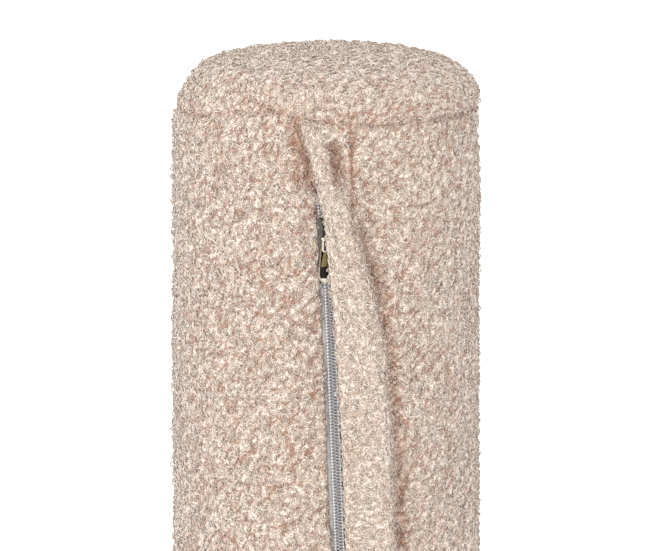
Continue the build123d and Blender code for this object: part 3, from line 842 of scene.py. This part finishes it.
# Spun yarn, curled and brushed a little. Its strands wind round small curls, pale on top and warm and brown in the
# creases, partly the yarn's own darker root and partly painted shade, with painted shade between the strands too
# and a soft halo of fibres. A real strand is a third as thick, too fine to show.
CURL_MM = 2.2
STRAND_MM = 1.0
CREASE_MM = 3.4
SWAY_MM = 2.2
SWAY_BY_MM = 1.6
PATCH_MM = 20
boucle, tree, shader, place = new_material(
    "curled_two_tone_boucle_yarn", Roughness=0.85, Sheen_Weight=0.25, Sheen_Roughness=0.5
)
tip = add(tree, "Attribute", {"attribute_name": "tip"})
tone = add(tree, "Attribute", {"attribute_name": "tone"})
sway = add(tree, "TexNoise", {"Scale": 1 / (SWAY_MM * MM), "Detail": 1.0}, Vector=place)
settings = {"operation": "MULTIPLY_ADD", 1: (SWAY_BY_MM * MM,) * 3}
sway = add(tree, "VectorMath", settings, _0=sway.outputs["Color"], _2=place)
curl = add(tree, "TexVoronoi", {"Scale": 1 / (CURL_MM * MM)}, Vector=sway.outputs["Vector"])
settings = {"operation": "MULTIPLY", 1: 2 * math.pi * CURL_MM / STRAND_MM}
wound = add(tree, "Math", settings, _0=curl.outputs["Distance"])
strand = add(tree, "Math", {"operation": "SINE"}, _0=wound.outputs["Value"])
strand = add(tree, "MapRange", {"From Min": -1.0}, Value=strand.outputs["Value"])
# Narrow lines of painted shade in the creases between the curls.
settings = {"feature": "DISTANCE_TO_EDGE", "Scale": 1 / (CREASE_MM * MM)}
edge = add(tree, "TexVoronoi", settings, Vector=sway.outputs["Vector"])
crease = add(tree, "MapRange", {"From Max": 0.1, "To Min": 0.25}, Value=edge.outputs["Distance"])
patch = add(tree, "TexNoise", {"Scale": 1 / (PATCH_MM * MM), "Detail": 2.0}, Vector=place)
# The yarn's painted shade by height and in the creases picks its colour.
depth = add(tree, "MapRange", {"From Min": 0.0, "From Max": 0.8}, Value=tip.outputs["Fac"])
settings = {"operation": "MULTIPLY"}
depth = add(tree, "Math", settings, _0=depth.outputs["Result"], _1=crease.outputs["Result"])
stops = ((0, "BA9686"), (0.22, "EEE5DB"), (1, "F3EDE4"))
colour = add(tree, "ValToRGB", {"stops": stops}, Fac=depth.outputs["Value"])
# The strands are pale, with painted shade between them.
strands = add(tree, "ValToRGB", {"stops": ((0, "C8B9AC"), (1, "FFFFFF"))}, Fac=strand.outputs["Result"])
plies = add(tree, "ValToRGB", {"stops": ((0, "ECE6E1"), (1, "FFFFFF"))}, Fac=tone.outputs["Fac"])
worn = add(tree, "ValToRGB", {"stops": ((0, "F4F0ED"), (1, "FFFFFF"))}, Fac=patch.outputs["Fac"])
# The yarn is darkened with painted shade in folds and seam grooves.
fold_shade = add(tree, "Attribute", {"attribute_name": "fold_shade"})
shade = add(tree, "ValToRGB", {"stops": ((0, "FFFFFF"), (1, "D9BCAE"))}, Fac=fold_shade.outputs["Fac"])
settings = {"blend_type": "MULTIPLY", "Fac": 1.0}
for layer in (strands, shade, plies, worn):
    colour = add(tree, "MixRGB", settings, Color1=colour.outputs["Color"], Color2=layer.outputs["Color"])
tree.links.new(colour.outputs["Color"], shader.inputs["Base Color"])
curls = add(tree, "Bump", {"Strength": 0.9, "Distance": 0.0004}, Height=strand.outputs["Result"])
tree.links.new(curls.outputs["Normal"], shader.inputs["Normal"])

GROUND_COLUMN_MM = 1.866
GROUND_ROW_MM = 2.0
SEAM_UP_OVER_MM = 60
SLIT_HALF_MM = 5.6
SLIT_END_MM = 200.0
# The slit's edges are drawn apart this far, over this width of cloth, and not at the chain's middle.
EDGE_DRAWN_MM = 0.7
DRAWN_OVER_MM = 3
UNDRAWN_MM = 2
columns = 2 * round(math.pi * tube_ground / GROUND_COLUMN_MM)
rows = round((top_seam_at - bottom_seam_at) / GROUND_ROW_MM)
bm, flat = grid(columns, rows)
way = bottom_seam_at + (top_seam_at - bottom_seam_at) * (flat[:, 1] + 1) / 2
slanted = math.pi * flat[:, 0] + (MIDDLE_MM - outline(way)[1]) * SLANT / tube_ground
way = way + seam_lift(slanted) * ease((way - top_seam_at + SEAM_UP_OVER_MM) / SEAM_UP_OVER_MM)
to_top = top_seam_at + seam_lift(slanted) - way
to_back = math.pi * tube_ground * (1 - np.abs(flat[:, 0]))
points = place_on_cover(slanted, way)
across, out, along = to_zip(points * MM)
drawn = EDGE_DRAWN_MM * np.exp(-(((np.abs(across) - SLIT_HALF_MM) / DRAWN_OVER_MM) ** 2))
drawn = drawn * (points[:, 1] < 0) * (np.abs(along) < SLIT_END_MM)
points[:, 0] -= np.sign(across) * drawn * ease(np.abs(across) / UNDRAWN_MM)
settle(bm, points, np.minimum(np.minimum(to_top, way - bottom_seam_at), to_back))
cut = []
for face in bm.faces:
    middle = face.calc_center_median()
    across, out, along = to_zip(np.array(middle))
    if middle.y < 0 and abs(across) < SLIT_HALF_MM - EDGE_DRAWN_MM and abs(along) < SLIT_END_MM:
        cut.append(face)
crumple(bm, seed=1)

# Cloth that lies over a tape stays above it.
TAPE_REACH_MM = 15.5
TAPE_PAST_SLIT_MM = 12
OVER_TAPE_MM = 0.8
for vertex in bm.verts:
    across, out, along = to_zip(np.array(vertex.co))
    over_tape = abs(across) < TAPE_REACH_MM and abs(along) < SLIT_END_MM + TAPE_PAST_SLIT_MM
    if vertex.co.y < 0 and over_tape and out < OVER_TAPE_MM:
        vertex.co = from_zip(across, OVER_TAPE_MM, along)
bmesh.ops.delete(bm, geom=cut, context="FACES")

# The slit's edges turn in and down to the tapes, in three steps of how far in and how far down each goes.
TURNED_IN_MM = ((0.35, 0.45), (0.3, 0.7), (0.15, 0.8))
TURNED_LOWEST_MM = 0.4
SIDE_WITHIN_MM = 1.5
END_WITHIN_MM = 1
RIM_NEAR_MM = (2, -3, 3)
rim = []
for line in bm.edges:
    across, out, along = to_zip(np.array((line.verts[0].co + line.verts[1].co) / 2))
    near_slit = abs(across) < SLIT_HALF_MM + RIM_NEAR_MM[0] and abs(along) < SLIT_END_MM + RIM_NEAR_MM[2]
    if line.is_boundary and out > RIM_NEAR_MM[1] and near_slit:
        rim.append(line)
turned = []
for inwards, down in TURNED_IN_MM:
    hem = bmesh.ops.extrude_edge_only(bm, edges=rim)["geom"]
    turned += [item for item in hem if isinstance(item, bmesh.types.BMFace)]
    for vertex in (item for item in hem if isinstance(item, bmesh.types.BMVert)):
        across, out, along = to_zip(np.array(vertex.co))
        across -= inwards * np.sign(across) * (abs(across) > SLIT_HALF_MM - SIDE_WITHIN_MM)
        along -= inwards * np.sign(along) * (abs(along) > SLIT_END_MM - END_WITHIN_MM)
        vertex.co = from_zip(across, max(out - down, TURNED_LOWEST_MM), along)
    rim = [item for item in hem if isinstance(item, bmesh.types.BMEdge) and item.is_boundary]
# The turned edges' faces come in no fixed order, so they are put in one, and the loops on them never change.
bm.verts.index_update()
bm.faces.index_update()
numbers = sorted(face.index for face in turned)
turned.sort(key=lambda face: sorted(vertex.index for vertex in face.verts))
for number, face in zip(numbers, turned):
    face.index = number
bm.faces.sort()

SEAM_CLEAR_MM = 1.0
SEAM_THINNED = 0.8
BACK_SEAM = [(-(MIDDLE_MM - height) * SLANT, height) for height in (BOTTOM_SEAM_MM, TOP_SEAM_MM)]


def away_from_seams(points):
    """Few loops stand on the seams above the zip and down the back, where the cloth is pulled in."""
    front, back = (distance_to_line(points[:, (0, 2)], line) for line in (FOLDS[0][0], BACK_SEAM))
    return 1 - SEAM_THINNED * np.exp(-((np.where(points[:, 1] < 0, front, back) / SEAM_CLEAR_MM) ** 2))


mesh = cover_with_loops(bm, 11, away_from_seams)
cover = link("cover_tube_boucle", mesh, boucle, "cover", "cover_tube_panel")

# Cover ends. A round of the same cloth closes each end of the tube, eased into its seam. The top one is crowned by
# the pad. The bottom one is pressed flat by the pillow's weight, and loops stand only round its rim.
END_CELLS = 76
REST_LIMIT_MM = 0.15
LOOPS_ABOVE_MM = 2.2


def make_end(name, rim, centre, seed, wanted=None):
    """A round panel from its rim to its centre, both as distances along the pillow's side view."""
    bm, flat = grid(END_CELLS, END_CELLS)
    wide = flat[:, 0] * np.sqrt(1 - flat[:, 1] ** 2 / 2)
    deep = flat[:, 1] * np.sqrt(1 - flat[:, 0] ** 2 / 2)
    share = np.clip(np.hypot(wide, deep), 0, 1)
    angle = np.arctan2(wide, -deep)
    start = rim + (seam_lift(angle) if centre > rim else 0)
    way = centre + (start - centre) * share
    settle(bm, place_on_cover(angle, way), np.abs(start - centre) * (1 - share))
    crumple(bm, seed)
    for vertex in bm.verts:
        vertex.co.z = max(vertex.co.z, REST_LIMIT_MM * MM)
    mesh = cover_with_loops(bm, seed + 10, wanted)
    made = link(name + "_boucle", mesh, boucle, "cover", name)


def above_rest(points):
    """No loops stand where the pillow rests on them."""
    return (points[:, 2] > LOOPS_ABOVE_MM) * 1.0


make_end("cover_end_top", top_seam_at, apex_at, 1)
make_end("cover_end_bottom", bottom_seam_at, centre_at, 3, above_rest)

# Zip flap. A soft fold of the cover's own cloth that grows out of the right-hand panel and lies over the zip. Its
# free edge is a round nose left of the chain, and each end runs up and over the panel into the seam.
FLAP_END_MM = 228.5
FLAP_ROWS_MM = 1.9
FLAP_AROUND = 44
# How far across the chain the flap's nose, crest and root are, by height.
FLAP_NOSE = (
    (480, -15.0), (466, -10.2), (450, -6.6), (443, -3.2), (436, -1.9),
    (429, -1.2), (400, 0.6), (373, 1.6), (344, 2.8), (250, 2.6),
)
FLAP_CREST = (
    (480, -8.0), (466, -5.0), (446, -1.0), (433, 5.0), (413, 9.5),
    (393, 14.4), (368, 18.5), (335, 21.0), (250, 22.5),
)
FLAP_ROOT = (
    (480, -1.0), (466, 4.0), (449, 9.5), (435, 13.5),
    (423, 17.0), (393, 22.5), (360, 28.0), (250, 28.0),
)
SMOOTHED_MM = (-6, -3, 0, 3, 6)
# How far out its nose, crest and underside are, and how far each is sunk in the panel at the sewn ends.
FLAP_NOSE_OUT_MM = 9.3
FLAP_CREST_OUT_MM = 12.3
FLAP_UNDER_MM = 6.6
NOSE_SUNK_MM = 1.0
CREST_SUNK_MM = 1.2
UNDER_SUNK_MM = 2.0
ROOT_SUNK_MM = 1.0
ROOT_BACK_MM = 4.5
RIDGE_MM = 4.4
NOSE_RADIUS_MM = 2.2
# Where each grows from the flap's ends, and over what length.
LOFT_FROM_MM = (24, 36)
RIDGE_FROM_MM = (20, 22)
# The flap is fuller near its lower end, where the puller lies when the zip is open: its crest and its root lie
# further across, and its crest further out.
PULLER_REST_MM = 34.0
PULLER_ROOM_MM = 14.0
CREST_ROOM_MM = 4.0
ROOT_ROOM_MM = 6.5
OUT_ROOM_MM = 2.2


def along_flap(height, line):
    """A length that changes smoothly up the flap, the same in its lower half as in its upper half."""
    up = MIDDLE_MM + np.abs(height - MIDDLE_MM)
    heights, lengths = np.array(line, float)[::-1].T
    return sum(np.interp(up + shift, heights, lengths) for shift in SMOOTHED_MM) / len(SMOOTHED_MM)


def panel_out(across, height):
    """How far out of the tapes the panel's ground lies, in millimetres."""
    up = np.clip(height, FOOT_MM, SHOULDER_START_MM)
    over = np.clip((height - SHOULDER_START_MM) / shoulder_ground, -1, 1)
    under = np.clip((FOOT_MM - height) / foot_ground, -1, 1)
    radius = tube_ground - shoulder_ground * (1 - np.sqrt(1 - np.clip(over, 0, 1) ** 2))
    radius = radius - foot_ground * (1 - np.sqrt(1 - np.clip(under, 0, 1) ** 2))
    sideways = across + (MIDDLE_MM - up) * SLANT
    depth = np.sqrt(radius**2 - sideways**2)
    return depth - flattened(depth, height) + ZIP_ORIGIN[1] / MM


bm, flat = grid(FLAP_AROUND, round(2 * FLAP_END_MM / FLAP_ROWS_MM))
along = FLAP_END_MM * flat[:, 1]
height = MIDDLE_MM + along
from_end = HEIGHT_MM / 2 - np.abs(along)
nose, crest, root = (along_flap(height, line) for line in (FLAP_NOSE, FLAP_CREST, FLAP_ROOT))
room = np.exp(-(((height - PULLER_REST_MM) / PULLER_ROOM_MM) ** 2))
crest = crest + CREST_ROOM_MM * room
root = root + ROOT_ROOM_MM * room
loft = ease((from_end - LOFT_FROM_MM[0]) / LOFT_FROM_MM[1])
ridge = ease((from_end - RIDGE_FROM_MM[0]) / RIDGE_FROM_MM[1])
panel = panel_out(nose, height)
nose_out = panel - NOSE_SUNK_MM + loft * (FLAP_NOSE_OUT_MM - panel + NOSE_SUNK_MM)
under_out = panel - UNDER_SUNK_MM + loft * (FLAP_UNDER_MM - panel + UNDER_SUNK_MM)
crest_out = panel_out(crest, height) - CREST_SUNK_MM + RIDGE_MM * ridge
crest_out = crest_out + loft * (FLAP_CREST_OUT_MM - crest_out) + OUT_ROOM_MM * room
round_off = NOSE_RADIUS_MM * (0.35 + 0.65 * loft)
root_panel = panel_out(root, height)
# The section, as (across, out): from the root over the crest, round the nose and back under the flap.
section = (
    (root, root_panel - ROOT_SUNK_MM),
    (crest + 0.55 * (root - crest), crest_out - 0.35 * (crest_out - root_panel)),
    (crest, crest_out),
    ((nose + crest) / 2, (crest_out + nose_out + round_off) / 2 + 0.2),
    (nose + 0.6 * round_off, nose_out + 0.9 * round_off),
    (nose, nose_out),
    (nose + 0.6 * round_off, nose_out - 0.9 * round_off),
    (nose + 0.5 * (root - nose), under_out),
    (root - ROOT_BACK_MM, panel_out(root - ROOT_BACK_MM, height) - ROOT_SUNK_MM),
)
turn = (flat[:, 0] + 1) / 2 * len(section)
step = np.floor(turn).astype(int)
share = turn - step
profile = []
for lengths in (np.array([part[0] for part in section]), np.array([part[1] for part in section])):
    a, b, c, d = (lengths[(step + offset) % len(section), np.arange(len(step))] for offset in (-1, 0, 1, 2))
    squared = (2 * a - 5 * b + 4 * c - d) * share**2
    cubed = (3 * b - a - 3 * c + d) * share**3
    profile.append((2 * b + (c - a) * share + squared + cubed) / 2)
NO_SEAM_MM = 99.0
FLAP_STRETCH = 0.45
settle(bm, from_zip(profile[0], profile[1], along) / MM, np.full(len(flat), NO_SEAM_MM))
bmesh.ops.holes_fill(bm, edges=[line for line in bm.edges if line.is_boundary], sides=0)
bmesh.ops.recalc_face_normals(bm, faces=bm.faces)
crumple(bm, seed=5, stretch=FLAP_STRETCH)

FLAP_BEND_MM = 11.0
FLAP_FREE_PAST_SLIT_MM = 12
FLAP_END_BEND_MM = 40


def flap_follows(points):
    """How far the cloth follows the lifted flap: not at all along its root and sewn ends, and wholly beyond."""
    across, out, along = to_zip(points)
    root = along_flap(MIDDLE_MM + along, FLAP_ROOT)
    free = (SLIT_END_MM + FLAP_FREE_PAST_SLIT_MM - np.abs(along)) / FLAP_END_BEND_MM
    return ease((root - across) / FLAP_BEND_MM) * ease(free)


mesh = cover_with_loops(bm, 15, None, flap_follows)
flap = link("zip_flap_boucle", mesh, boucle, None, "zip_flap")
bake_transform(flap, "cover", "flap", start=(0.03, -0.07, 0.25), end=(0.0, -0.07, 0.25))
bend = read(mesh.attributes["bend"].data, "value", np.empty(len(mesh.vertices), np.float32))
mesh.attributes["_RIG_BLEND"].data.foreach_set("value", bend)
